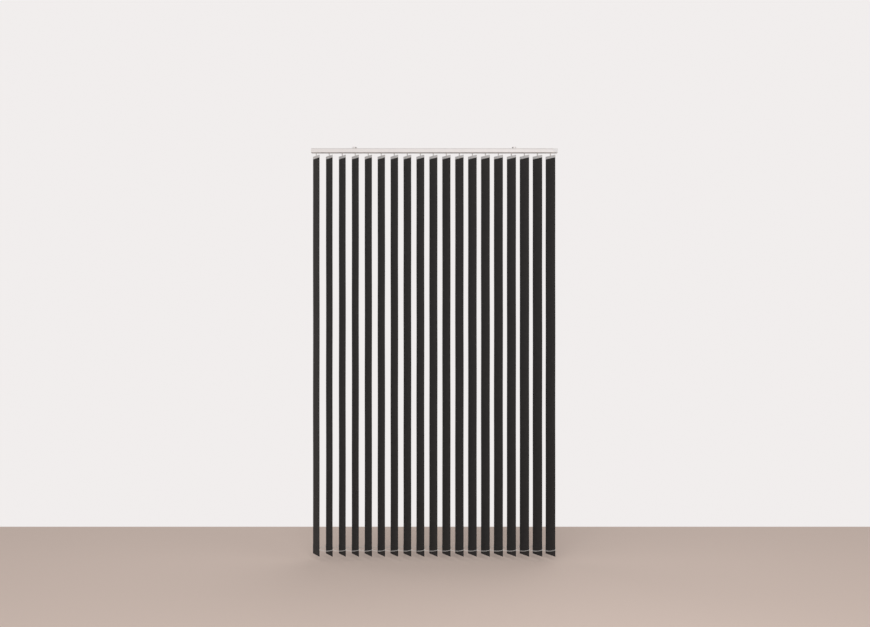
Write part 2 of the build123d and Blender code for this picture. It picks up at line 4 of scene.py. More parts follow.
import bmesh
import bpy
import numpy as np
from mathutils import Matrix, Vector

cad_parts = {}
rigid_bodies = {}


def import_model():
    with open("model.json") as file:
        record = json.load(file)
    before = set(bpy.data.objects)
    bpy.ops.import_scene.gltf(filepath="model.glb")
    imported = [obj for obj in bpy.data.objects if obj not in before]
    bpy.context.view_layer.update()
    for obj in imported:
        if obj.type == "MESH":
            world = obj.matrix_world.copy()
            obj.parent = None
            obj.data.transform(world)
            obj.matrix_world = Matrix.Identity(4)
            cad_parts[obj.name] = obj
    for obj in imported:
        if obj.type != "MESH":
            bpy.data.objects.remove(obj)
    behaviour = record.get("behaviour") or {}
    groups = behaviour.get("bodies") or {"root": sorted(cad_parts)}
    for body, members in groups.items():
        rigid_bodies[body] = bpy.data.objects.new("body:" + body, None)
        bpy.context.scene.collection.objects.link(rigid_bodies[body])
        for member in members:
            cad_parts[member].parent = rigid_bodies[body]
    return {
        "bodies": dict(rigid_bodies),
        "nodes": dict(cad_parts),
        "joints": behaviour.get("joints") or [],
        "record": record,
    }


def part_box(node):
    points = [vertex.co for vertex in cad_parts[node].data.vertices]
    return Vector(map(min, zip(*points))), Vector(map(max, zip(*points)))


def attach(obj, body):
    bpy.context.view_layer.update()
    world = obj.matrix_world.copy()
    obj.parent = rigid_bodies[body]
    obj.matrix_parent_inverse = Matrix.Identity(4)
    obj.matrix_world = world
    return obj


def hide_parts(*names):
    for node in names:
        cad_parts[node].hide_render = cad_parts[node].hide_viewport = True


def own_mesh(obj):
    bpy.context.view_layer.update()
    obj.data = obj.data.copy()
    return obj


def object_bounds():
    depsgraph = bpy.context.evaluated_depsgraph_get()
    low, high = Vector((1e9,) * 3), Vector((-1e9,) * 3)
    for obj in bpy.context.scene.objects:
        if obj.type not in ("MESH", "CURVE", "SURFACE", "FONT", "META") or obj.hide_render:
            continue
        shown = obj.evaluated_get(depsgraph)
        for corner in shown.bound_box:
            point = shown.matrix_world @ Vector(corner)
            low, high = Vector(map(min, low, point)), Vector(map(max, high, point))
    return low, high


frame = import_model()
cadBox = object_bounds()
rng = np.random.default_rng(19)

# places read from the frame, in metres
slatBodies = sorted(name for name in frame["bodies"] if name.startswith("slat_"))
slatCount = len(slatBodies)
jointOf = {joint["child"]: joint for joint in frame["joints"]}
stemPlaces = [jointOf[name]["pos_m"][0] for name in slatBodies]
slatPitch = stemPlaces[1] - stemPlaces[0]
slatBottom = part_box("slat_01")[0][2]
chainPins = {name: jointOf[name]["pos_m"] for name in ("front_chain", "rear_chain")}

# how every slat is turned at rest: its room-side end points right and forward
slatTurn = math.radians(-56.6)
cosTurn, sinTurn = math.cos(slatTurn), math.sin(slatTurn)


def report(stage):
    print("made:", stage)


# camera and light
view = dict(place=(0.004, -5.396, -1.015), lens=36.58, sensor=36.0)
studio = dict(
    floorGap=0.032, floorSize=9.0, floorBehind=0.85, floorRoughness=0.85,
    floorColour=(0.82, 0.68, 0.60),
    worldColour=(1.0, 0.968, 0.962), backdropStrength=0.88, worldStrength=0.50,
)
lamps = {
    "key": dict(place=(1.1, -4.6, 1.2), aim=(0.0, 0.0, -1.2), size=2.6, power=78.0),
    "fill": dict(place=(-1.3, -4.8, 0.2), aim=(0.0, 0.0, -1.3), size=2.4, power=31.0),
}


def makeCamera():
    data = bpy.data.cameras.new("camera")
    data.lens = view["lens"]
    data.sensor_width = view["sensor"]
    camera = bpy.data.objects.new("camera", data)
    bpy.context.collection.objects.link(camera)
    camera.location = view["place"]
    camera.rotation_euler = (math.radians(90), 0, 0)
    bpy.context.scene.camera = camera


def makeLamps():
    for name, lamp in lamps.items():
        data = bpy.data.lights.new(name, "AREA")
        data.shape = "DISK"
        data.size = lamp["size"]
        data.energy = lamp["power"]
        lampObject = bpy.data.objects.new(name, data)
        bpy.context.collection.objects.link(lampObject)
        lampObject.location = lamp["place"]
        toward = np.array(lamp["aim"]) - np.array(lamp["place"])
        level = math.hypot(toward[0], toward[1])
        lampObject.rotation_euler = (
            math.atan2(level, -toward[2]), 0, math.atan2(toward[1], toward[0]) - math.pi / 2,
        )


def makeWorld():
    world = bpy.data.worlds.new("studio")
    world.use_nodes = True
    tree = world.node_tree
    background = tree.nodes["Background"]
    background.inputs["Color"].default_value = (*studio["worldColour"], 1)
    # the pale backdrop is brighter than the light that it throws on the blind
    lightPath = tree.nodes.new("ShaderNodeLightPath")
    strength = tree.nodes.new("ShaderNodeMapRange")
    strength.inputs["To Min"].default_value = studio["worldStrength"]
    strength.inputs["To Max"].default_value = studio["backdropStrength"]
    tree.links.new(lightPath.outputs["Is Camera Ray"], strength.inputs["Value"])
    tree.links.new(strength.outputs["Result"], background.inputs["Strength"])
    bpy.context.scene.world = world


makeCamera()
makeLamps()
makeWorld()
bpy.context.scene.view_settings.view_transform = "Standard"


# node helpers
def newGroup(name, inputs, outputs):
    group = bpy.data.node_groups.new(name, "ShaderNodeTree")
    for label, kind, value in inputs:
        socket = group.interface.new_socket(name=label, in_out="INPUT", socket_type=kind)
        if value is not None:
            socket.default_value = value
    for label, kind in outputs:
        group.interface.new_socket(name=label, in_out="OUTPUT", socket_type=kind)
    return group, group.nodes.new("NodeGroupInput"), group.nodes.new("NodeGroupOutput")


def calculate(tree, operation, *values):
    # one Math node; each value is a number or the socket that feeds it
    node = tree.nodes.new("ShaderNodeMath")
    node.operation = operation
    for place, value in enumerate(values):
        if isinstance(value, (int, float)):
            node.inputs[place].default_value = value
        else:
            tree.links.new(value, node.inputs[place])
    return node.outputs[0]


def noise(tree, vector, scale, detail=2.0, roughness=0.5):
    node = tree.nodes.new("ShaderNodeTexNoise")
    node.inputs["Detail"].default_value = detail
    node.inputs["Roughness"].default_value = roughness
    tree.links.new(vector, node.inputs["Vector"])
    if isinstance(scale, (int, float)):
        node.inputs["Scale"].default_value = scale
    else:
        tree.links.new(scale, node.inputs["Scale"])
    return node.outputs["Fac"]


def mixColours(tree, factor, first, second):
    node = tree.nodes.new("ShaderNodeMix")
    node.data_type = "RGBA"
    node.inputs[6].default_value = (*first, 1)
    node.inputs[7].default_value = (*second, 1)
    tree.links.new(factor, node.inputs[0])
    return node.outputs[2]


def stretch(tree, value, low, high):
    # carries 0..1 to low..high
    node = tree.nodes.new("ShaderNodeMapRange")
    node.inputs["To Min"].default_value = low
    node.inputs["To Max"].default_value = high
    tree.links.new(value, node.inputs["Value"])
    return node.outputs["Result"]


def placeGroup(tree, group, vector, **values):
    node = tree.nodes.new("ShaderNodeGroup")
    node.node_tree = group
    tree.links.new(vector, node.inputs["Vector"])
    for label, value in values.items():
        node.inputs[label].default_value = value
    return node


weaveLook = dict(
    pitch=0.0006, slubAcross=900.0, slubAlong=26.0, slubDetail=3.0, slubRoughness=0.6,
)
grainLook = dict(
    fineness=900.0, swell=38.0, swellDetail=3.0, swellRoughness=0.55, swellShare=0.35,
    markScale=9.0, markDetail=4.0, markGain=2.2,
)
drawnLook = dict(lines=2600.0, stretch=4.0, markScale=60.0, markDetail=3.0)


# Plain weave: two rows of rounded threads, where a checker of crossings picks the upper one.
def makeWeaveGroup():
    group, start, end = newGroup(
        "plainWeave",
        [("Vector", "NodeSocketVector", None),
         ("Pitch", "NodeSocketFloat", weaveLook["pitch"])],
        [("Height", "NodeSocketFloat"), ("Slub", "NodeSocketFloat")],
    )
    split = group.nodes.new("ShaderNodeSeparateXYZ")
    group.links.new(start.outputs["Vector"], split.inputs[0])
    across = calculate(group, "DIVIDE", split.outputs[0], start.outputs["Pitch"])
    along = calculate(group, "DIVIDE", split.outputs[1], start.outputs["Pitch"])
    warp = calculate(group, "SINE", calculate(group, "MULTIPLY", across, math.pi))
    weft = calculate(group, "SINE", calculate(group, "MULTIPLY", along, math.pi))
    crossing = calculate(group, "GREATER_THAN", calculate(group, "MULTIPLY", warp, weft), 0.0)
    under = calculate(group, "SUBTRACT", 1.0, crossing)
    warpTop = calculate(group, "MULTIPLY", calculate(group, "ABSOLUTE", warp), crossing)
    weftTop = calculate(group, "MULTIPLY", calculate(group, "ABSOLUTE", weft), under)
    height = calculate(group, "ADD", warpTop, weftTop)
    streaks = group.nodes.new("ShaderNodeCombineXYZ")
    for axis, share in enumerate((weaveLook["slubAcross"], weaveLook["slubAlong"])):
        group.links.new(
            calculate(group, "MULTIPLY", split.outputs[axis], share), streaks.inputs[axis])
    slub = noise(
        group, streaks.outputs[0], 1.0, weaveLook["slubDetail"], weaveLook["slubRoughness"])
    group.links.new(height, end.inputs["Height"])
    group.links.new(slub, end.inputs["Slub"])
    return group


# Moulded or coated surface: fine grain over slow swells, and a mask of slight handling marks.
def makeGrainGroup():
    group, start, end = newGroup(
        "fineGrain",
        [("Vector", "NodeSocketVector", None),
         ("Fineness", "NodeSocketFloat", grainLook["fineness"])],
        [("Height", "NodeSocketFloat"), ("Marks", "NodeSocketFloat")],
    )
    fine = noise(group, start.outputs["Vector"], start.outputs["Fineness"], 2.0)
    slow = noise(
        group, start.outputs["Vector"], grainLook["swell"], grainLook["swellDetail"],
        grainLook["swellRoughness"])
    height = calculate(
        group, "ADD", fine, calculate(group, "MULTIPLY", slow, grainLook["swellShare"]))
    patches = noise(
        group, start.outputs["Vector"], grainLook["markScale"], grainLook["markDetail"])
    marks = calculate(group, "MULTIPLY", slow, patches)
    group.links.new(height, end.inputs["Height"])
    group.links.new(
        calculate(group, "MULTIPLY", marks, grainLook["markGain"]), end.inputs["Marks"])
    return group


# Drawn or extruded metal: long fine lines along X, and a mask that breaks them up.
def makeDrawnGroup():
    group, start, end = newGroup(
        "drawnLines",
        [("Vector", "NodeSocketVector", None),
         ("Lines", "NodeSocketFloat", drawnLook["lines"])],
        [("Height", "NodeSocketFloat"), ("Marks", "NodeSocketFloat")],
    )
    split = group.nodes.new("ShaderNodeSeparateXYZ")
    group.links.new(start.outputs["Vector"], split.inputs[0])
    joined = group.nodes.new("ShaderNodeCombineXYZ")
    group.links.new(
        calculate(group, "MULTIPLY", split.outputs[0], drawnLook["stretch"]), joined.inputs[0])
    for axis in (1, 2):
        lines = calculate(group, "MULTIPLY", split.outputs[axis], start.outputs["Lines"])
        group.links.new(lines, joined.inputs[axis])
    group.links.new(noise(group, joined.outputs[0], 1.0, 2.0), end.inputs["Height"])
    breaks = noise(
        group, start.outputs["Vector"], drawnLook["markScale"], drawnLook["markDetail"])
    group.links.new(breaks, end.inputs["Marks"])
    return group


weaveGroup = makeWeaveGroup()
grainGroup = makeGrainGroup()
drawnGroup = makeDrawnGroup()


# materials
def startMaterial(name, **values):
    material = bpy.data.materials.new(name)
    material.use_nodes = True
    tree = material.node_tree
    shader = tree.nodes["Principled BSDF"]
    for label, value in values.items():
        shader.inputs[label.replace("_", " ")].default_value = value
    return material, tree, shader


def bumpInto(tree, shader, height, distance, strength=1.0):
    bump = tree.nodes.new("ShaderNodeBump")
    bump.inputs["Distance"].default_value = distance
    bump.inputs["Strength"].default_value = strength
    tree.links.new(height, bump.inputs["Height"])
    tree.links.new(bump.outputs["Normal"], shader.inputs["Normal"])


def objectPlace(tree):
    return tree.nodes.new("ShaderNodeTexCoord").outputs["Object"]


clothLook = dict(
    threadPitch=0.0008, dark=(0.0176, 0.0168, 0.0169), light=(0.053, 0.0506, 0.0502),
    rough=(0.78, 0.93), bump=0.0002, weldPitch=0.0011,
    weldLevel=0.0026, weldHalf=0.0011, weldDepth=1.6, hollowShadeLift=0.45,
)


def makeClothLook(cutLength):
    # U is the distance across the cut strip and V the distance along it, both in metres
    material, tree, shader = startMaterial(
        "slatCloth", Sheen_Weight=0.06, Sheen_Roughness=0.45, Specular_IOR_Level=0.22,
    )
    uvMap = tree.nodes.new("ShaderNodeUVMap")
    uvMap.uv_map = "cut"
    weave = placeGroup(tree, weaveGroup, uvMap.outputs[0], Pitch=clothLook["threadPitch"])
    slub, height = weave.outputs["Slub"], weave.outputs["Height"]
    # painted shade: the colour follows the weave's height, darker in the hollows between
    # threads, times the slubs' real tone variation
    hollowShade = calculate(tree, "ADD", height, clothLook["hollowShadeLift"])
    slubAndHollowShade = calculate(tree, "MULTIPLY", slub, hollowShade)
    tree.links.new(
        mixColours(tree, slubAndHollowShade, clothLook["dark"], clothLook["light"]),
        shader.inputs["Base Color"],
    )
    tree.links.new(stretch(tree, slub, *clothLook["rough"]), shader.inputs["Roughness"])
    # the welded seam: a narrow band of slanted pressed bars near the end of the turned-up hem
    split = tree.nodes.new("ShaderNodeSeparateXYZ")
    tree.links.new(uvMap.outputs[0], split.inputs[0])
    fromEnd = calculate(tree, "SUBTRACT", cutLength, split.outputs[1])
    hem = calculate(tree, "MINIMUM", fromEnd, calculate(tree, "ABSOLUTE", calculate(
        tree, "SUBTRACT", split.outputs[1], cutLength - 2 * hemLook["height"])))
    inBand = calculate(tree, "LESS_THAN", calculate(tree, "ABSOLUTE", calculate(
        tree, "SUBTRACT", hem, clothLook["weldLevel"])), clothLook["weldHalf"])
    slant = calculate(tree, "ADD", split.outputs[0], split.outputs[1])
    bars = calculate(tree, "ABSOLUTE", calculate(tree, "SINE", calculate(
        tree, "MULTIPLY", slant, math.pi / clothLook["weldPitch"])))
    pressed = calculate(
        tree, "MULTIPLY", calculate(tree, "MULTIPLY", inBand, bars), clothLook["weldDepth"])
    bumpInto(tree, shader, calculate(tree, "SUBTRACT", height, pressed), clothLook["bump"])
    return material


def makeGrained(name, first, second, rough, fineness, bump, **values):
    material, tree, shader = startMaterial(name, **values)
    grain = placeGroup(tree, grainGroup, objectPlace(tree), Fineness=fineness)
    marks = grain.outputs["Marks"]
    tree.links.new(mixColours(tree, marks, first, second), shader.inputs["Base Color"])
    tree.links.new(stretch(tree, marks, *rough), shader.inputs["Roughness"])
    bumpInto(tree, shader, grain.outputs["Height"], bump)
    return material


def makeDrawn(name, first, second, rough, lines, bump, **values):
    material, tree, shader = startMaterial(name, **values)
    drawn = placeGroup(tree, drawnGroup, objectPlace(tree), Lines=lines)
    marks = drawn.outputs["Marks"]
    tree.links.new(mixColours(tree, marks, first, second), shader.inputs["Base Color"])
    tree.links.new(stretch(tree, drawn.outputs["Height"], *rough), shader.inputs["Roughness"])
    bumpInto(tree, shader, drawn.outputs["Height"], bump)
    return material


hemLook = dict(
    height=0.062, taper=0.012, gap=0.001, overlap=0.004, ease=0.006,
    easeRows=7, sideRows=9, foldRows=11, endRows=4, closing=0.999,
)

railCoat = makeGrained(
    "railCoat", (0.82, 0.803, 0.797), (0.78, 0.763, 0.757), (0.34, 0.46), 1400.0, 0.00002,
    Coat_Weight=0.15, Coat_Roughness=0.25,
)
whiteMoulding = makeGrained(
    "whiteMoulding", (0.82, 0.81, 0.80), (0.77, 0.76, 0.745), (0.42, 0.56), 2600.0, 0.00002,
    Subsurface_Weight=0.06,
)
hangerMoulding = makeGrained(
    "hangerMoulding", (0.80, 0.785, 0.775), (0.74, 0.725, 0.715), (0.36, 0.50), 3200.0,
    0.000015,
    Subsurface_Weight=0.08,
)
acetal = makeGrained(
    "naturalAcetal", (0.78, 0.77, 0.73), (0.70, 0.69, 0.65), (0.30, 0.42), 2000.0, 0.00001,
    Subsurface_Weight=0.12,
)
beadPlastic = makeGrained(
    "beadPlastic", (0.84, 0.83, 0.82), (0.78, 0.77, 0.75), (0.20, 0.34), 1800.0, 0.00001,
    Coat_Weight=0.3, Coat_Roughness=0.12,
)
zincSteel = makeGrained(
    "zincSteel", (0.66, 0.67, 0.68), (0.50, 0.51, 0.53), (0.26, 0.48), 300.0, 0.00001,
    Metallic=1.0,
)
millRod = makeDrawn(
    "millRod", (0.76, 0.76, 0.77), (0.66, 0.66, 0.67), (0.22, 0.44), 2600.0, 0.00001,
    Metallic=1.0,
)
springStrip = makeDrawn(
    "springStrip", (0.70, 0.70, 0.69), (0.58, 0.58, 0.57), (0.18, 0.36), 3800.0, 0.000006,
    Metallic=1.0,
)


# shapes
def addPiece(name, shells, material, body, nodes, uv=None, sharp=35.0):
    # shells are (vertices, faces) pairs that become one mesh, with its faces turned outwards
    vertices, faces, used = [], [], 0
    for points, polygons in shells:
        vertices.append(points)
        faces += [tuple(int(corner) + used for corner in polygon) for polygon in polygons]
        used += len(points)
    mesh = bpy.data.meshes.new(name)
    mesh.from_pydata(np.concatenate(vertices).tolist(), [], faces)
    if uv is not None:
        corners = np.empty(len(mesh.loops), np.int32)
        mesh.loops.foreach_get("vertex_index", corners)
        layer = mesh.uv_layers.new(name="cut")
        layer.data.foreach_set("uv", uv[corners].astype(np.float32).ravel())
    work = bmesh.new()
    work.from_mesh(mesh)
    bmesh.ops.recalc_face_normals(work, faces=work.faces)
    work.to_mesh(mesh)
    work.free()
    return finishPiece(name, mesh, material, body, nodes, sharp)


def finishPiece(name, mesh, material, body, nodes, sharp):
    mesh.polygons.foreach_set("use_smooth", np.ones(len(mesh.polygons), bool))
    mesh.set_sharp_from_angle(angle=math.radians(sharp))
    mesh.materials.append(material)
    piece = bpy.data.objects.new(name, mesh)
    bpy.context.collection.objects.link(piece)
    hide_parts(*nodes)
    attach(piece, body)
    return piece


def gridFaces(rows, columns, wrapRows=False, wrapColumns=False):
    # four-sided faces between neighbours of a rows by columns grid
    index = np.arange(rows * columns).reshape(rows, columns)
    if wrapRows:
        index = np.vstack([index, index[:1]])
    if wrapColumns:
        index = np.hstack([index, index[:, :1]])
    low, high = index[:-1], index[1:]
    corners = np.stack([low[:, :-1], low[:, 1:], high[:, 1:], high[:, :-1]], -1)
    return corners.reshape(-1, 4).tolist()


def ringShell(rings, hollow=False):
    # closed rings carried one to the next; solid shells get a face at each end
    rows, columns = rings.shape[:2]
    faces = gridFaces(rows, columns, wrapRows=hollow, wrapColumns=True)
    if not hollow:
        faces.append(list(range(columns))[::-1])
        faces.append(list(range((rows - 1) * columns, rows * columns)))
    return rings.reshape(-1, 3), faces


def turnedShell(profile, sides=24, centre=(0.0, 0.0), hollow=False):
    # a profile of (radius, height) turned about an upright axis through centre
    profile = np.array(profile, float)
    angle = np.linspace(0, 2 * np.pi, sides, endpoint=False)
    radius, height = profile[:, :1], profile[:, 1:]
    rings = np.stack([
        centre[0] + radius * np.cos(angle), centre[1] + radius * np.sin(angle),
        np.broadcast_to(height, (len(profile), sides)),
    ], -1)
    return ringShell(rings, hollow)


def roundedOutline(width, height, corner, centre=(0.0, 0.0), steps=5):
    # a rectangle with round corners as (across, up) points, going round once
    quarter = np.linspace(0, np.pi / 2, steps)
    signs = ((1, 1), (-1, 1), (-1, -1), (1, -1))
    parts = []
    for number, (right, up) in enumerate(signs):
        arc = quarter + number * np.pi / 2
        parts.append(np.stack([
            centre[0] + right * (width / 2 - corner) + corner * np.cos(arc),
            centre[1] + up * (height / 2 - corner) + corner * np.sin(arc),
        ], -1))
    return np.concatenate(parts)


def plateShell(width, height, corner, thick, centre=(0.0, 0.0), depth=0.0, edge=0.0002):
    # a flat plate across X and Z with softened edges: four rings, the outer two drawn in
    rings = []
    for inset, offset in ((edge, -thick / 2), (0, edge - thick / 2),
                          (0, thick / 2 - edge), (edge, thick / 2)):
        outline = roundedOutline(
            width - 2 * inset, height - 2 * inset, max(corner - inset, 0.0001), centre)
        rings.append(np.stack([
            outline[:, 0], np.full(len(outline), depth + offset), outline[:, 1]], -1))
    return ringShell(np.array(rings))


nearlyAlong = 0.95  # cosine from which a path counts as running along Y


def tubeShell(path, radius, sides=8):
    # round section carried along a path, each ring square to the path
    path = np.array(path, float)
    ahead = np.gradient(path, axis=0)
    ahead /= np.linalg.norm(ahead, axis=1, keepdims=True)
    alongY = abs(ahead[:, 1]).max() >= nearlyAlong
    helper = np.array([0.0, 0.0, 1.0] if alongY else [0.0, 1.0, 0.0])
    side = np.cross(ahead, helper)
    side /= np.linalg.norm(side, axis=1, keepdims=True)
    up = np.cross(side, ahead)
    angle = np.linspace(0, 2 * np.pi, sides, endpoint=False)[None, :, None]
    rings = path[:, None] + radius * (
        np.cos(angle) * side[:, None] + np.sin(angle) * up[:, None])
    return ringShell(rings)


def beadShell(centres, radius, sides=10, rows=6):
    # the same small ball at every centre
    polar = np.linspace(0, np.pi, rows + 2)[1:-1]
    angle = np.linspace(0, 2 * np.pi, sides, endpoint=False)
    ball = np.stack([
        np.sin(polar)[:, None] * np.cos(angle), np.sin(polar)[:, None] * np.sin(angle),
        np.broadcast_to(np.cos(polar)[:, None], (rows, sides)),
    ], -1)
    points, faces = ringShell(ball)
    centres = np.array(centres)
    everyPoint = (centres[:, None] + radius * points[None]).reshape(-1, 3)
    everyFace = [
        [corner + number * len(points) for corner in face]
        for number in range(len(centres)) for face in faces
    ]
    return everyPoint, everyFace


def onSlat(shell, place):
    # carries a shell from the slat's own axes, X across it and Y through it, to its stem
    points, faces = shell
    moved = points.copy()
    moved[:, 0] = place + points[:, 0] * cosTurn - points[:, 1] * sinTurn
    moved[:, 1] = points[:, 0] * sinTurn + points[:, 1] * cosTurn
    return moved, faces


mergeDistance = 1e-6


def mergedCopy(node):
    # a CAD node's loose triangles joined into one connected mesh
    work = bmesh.new()
    work.from_mesh(frame["nodes"][node].data)
    bmesh.ops.remove_doubles(work, verts=work.verts, dist=mergeDistance)
    return work


def looseParts(work):
    # the groups of vertices that hang together, found by walking along the edges
    parts, seen = [], set()
    for start in work.verts:
        if start in seen:
            continue
        part, front = [], [start]
        seen.add(start)
        while front:
            vertex = front.pop()
            part.append(vertex)
            for edge in vertex.link_edges:
                other = edge.other_vert(vertex)
                if other not in seen:
                    seen.add(other)
                    front.append(other)
        parts.append(part)
    return parts


# A CAD node finished as a real part: doubles merged, flats made whole, edges softened.
def finishedCopy(node, material, edge=0.0003, sharp=32.0, keep=None, name=None, slotName=None):
    work = mergedCopy(node)
    if keep is not None:
        drop = [vertex for part in looseParts(work) if not keep(part) for vertex in part]
        bmesh.ops.delete(work, geom=drop, context="VERTS")
    bmesh.ops.dissolve_limit(
        work, angle_limit=math.radians(0.5), verts=work.verts, edges=work.edges)
    mesh = bpy.data.meshes.new(name or node + "_finish")
    work.to_mesh(mesh)
    work.free()
    body = next(label for label, members in frame["record"]["behaviour"]["bodies"].items()
                if node in members)
    slotName = slotName or next(
        part["material_slot"] for part in frame["record"]["subparts"] if part["node"] == node)
    piece = finishPiece(name or node + "_finish", mesh, material, body, [node], sharp)
    if edge:
        bevel = piece.modifiers.new("edges", "BEVEL")
        bevel.width = edge
        bevel.segments = 2
        bevel.limit_method = "ANGLE"
        bevel.angle_limit = math.radians(sharp)
        bevel.use_clamp_overlap = True
        bevel.harden_normals = True
    return piece


# headrail and end pieces
edgeSize = dict(
    rail=0.0004, bracket=0.00035, latch=0.00025, screw=0.00012, rod=0.0001,
    moulding=0.0002, steel=0.0002, spacer=0.00005,
)
finishedCopy("headrail", railCoat, edge=edgeSize["rail"])
finishedCopy("idle_end_cap", whiteMoulding)
finishedCopy("control_housing", whiteMoulding)
finishedCopy("control_cover", whiteMoulding)
finishedCopy("left_bracket", railCoat, edge=edgeSize["bracket"])
finishedCopy("right_bracket", railCoat, edge=edgeSize["bracket"])
finishedCopy("left_latch", zincSteel, edge=edgeSize["latch"])
finishedCopy("right_latch", zincSteel, edge=edgeSize["latch"])
finishedCopy("idle_cap_screws", zincSteel, edge=edgeSize["screw"])
finishedCopy("cover_screws", zincSteel, edge=edgeSize["screw"])
finishedCopy("tilt_rod", millRod, edge=edgeSize["rod"])
for node in ("rod_bush", "chain_wheel", "idle_pulley", "front_cord_pulley", "rear_cord_pulley"):
    finishedCopy(node, acetal, edge=edgeSize["moulding"])
for node in ("idle_pulley_pin", "cord_pulley_pin"):
    finishedCopy(node, zincSteel, edge=edgeSize["steel"])
report("headrail, ends and brackets")

latchSpring = dict(turns=6, wire=0.0003, steps=20)


# The spring's wire follows a helix along Y that fills the node's length.
def makeLatchSpring(node):
    low, high = (np.array(corner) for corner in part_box(node))
    middle = (low + high) / 2
    coil = (high[0] - low[0]) / 2 - latchSpring["wire"]
    share = np.linspace(0, 1, latchSpring["turns"] * latchSpring["steps"])
    angle = share * latchSpring["turns"] * 2 * np.pi
    ends = latchSpring["wire"]
    path = np.stack([
        middle[0] + coil * np.cos(angle),
        low[1] + ends + share * (high[1] - low[1] - 2 * ends),
        middle[2] + coil * np.sin(angle),
    ], -1)
    piece = addPiece(
        node.replace("spring", "coil"), [tubeShell(path, latchSpring["wire"], 8)],
        zincSteel, "headrail", [node])
    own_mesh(piece)


makeLatchSpring("left_latch_spring")
makeLatchSpring("right_latch_spring")
report("latch springs")


# runners
# A strip is longer than this and lies beyond this Y.
spacer = dict(length=0.040, side=-0.0055)


# A runner is a moulded carrier with its worm, and most carry a thin strip that sets the pitch.
def isStrip(part):
    places = np.array([vertex.co for vertex in part])
    return np.ptp(places[:, 0]) > spacer["length"] and places[:, 1].max() < spacer["side"]


def finishRunner(number):
    node = f"runner_{number:02d}"
    finishedCopy(
        node, acetal, edge=edgeSize["moulding"], keep=lambda part: not isStrip(part))
    work = mergedCopy(node)
    stripCount = sum(isStrip(part) for part in looseParts(work))
    work.free()
    if stripCount:
        finishedCopy(
            node, springStrip, edge=edgeSize["spacer"], keep=isStrip,
            name=f"spacer_{number:02d}",
            slotName="bright_steel")


for number in range(1, slatCount + 1):
    finishRunner(number)
report("runners")

# slats
hanger = dict(
    top=-0.0520, bottom=-0.0684, width=0.0890, thick=0.00185, leaf=0.00065, corner=0.0020,
    earWidth=0.0076, earTop=-0.0436, earThick=0.0010, studs=5, studPitch=0.018,
    studRadius=0.0016, studRise=0.00030, studSunk=0.0002, studLevel=0.0072, studShoulder=0.8,
    studFlat=0.3, studSides=16, ribs=4, ribWidth=0.0009, ribRise=0.00018, ribShare=0.55,
    ribLift=0.001, ribCorner=0.0004, leafEdge=0.00018, reliefEdge=0.00008, softEdge=0.0002,
    rimHeight=0.0011, rimInset=0.002, rimLevel=0.0014, rimCorner=0.0005,
    foldHeight=0.0012, foldLevel=0.0008, foldCorner=0.0005, earBite=0.002, earCorner=0.0018,
    shoulderWidth=0.0030, shoulderHeight=0.0016, shoulderCorner=0.0007,
    shoulderOut=0.0006, shoulderLevel=0.0004,
)
stem = dict(
    pinionRadius=0.0040, teeth=10, pinionTop=-0.0188, pinionBottom=-0.0248, shaft=0.0030,
    collar=0.0038, collarTop=-0.0360, collarBottom=-0.0400, hookBottom=-0.0495,
    hookWidth=0.0064, prong=0.0012, prongOffset=0.00115, prongCorner=0.0014, prongBite=0.001,
    softEdge=0.0002, pinLevel=-0.0464, pinRadius=0.0011, pinHalf=0.00189, pinSides=16,
    soft=0.0004, sides=28, grooveDepth=0.0003, grooveDrops=(0.0014, 0.0018, 0.0022, 0.0026),
    pinionBite=0.0002, toothDepth=0.0003, toothSteps=8, toothSharpness=1.6,
)
cloth = dict(
    width=0.0890, thick=0.00045, top=-0.0540, columns=12, rows=90, cup=0.00035,
    cupLevel=0.4, wave=0.00045, waveLength=0.95, twist=math.radians(0.35), held=0.016,
    fullness=0.6,
)
weight = dict(
    width=0.0860, height=0.0400, thick=0.0009, corner=0.0030, bottom=0.00095, edge=0.0001,
)
fork = dict(
    level=0.0420, start=0.0452, web=0.0010, reach=0.0501, half=0.0042, arm=0.0015,
    thick=0.0018, pin=0.0490, pinRadius=0.0008, neckStart=0.0400, neckBite=0.0008,
    neckProud=0.00004, neckCorner=0.0004, webCorner=0.0003, armCorner=0.0005, pinShort=0.0005,
    pinSides=12, edge=0.0002,
)


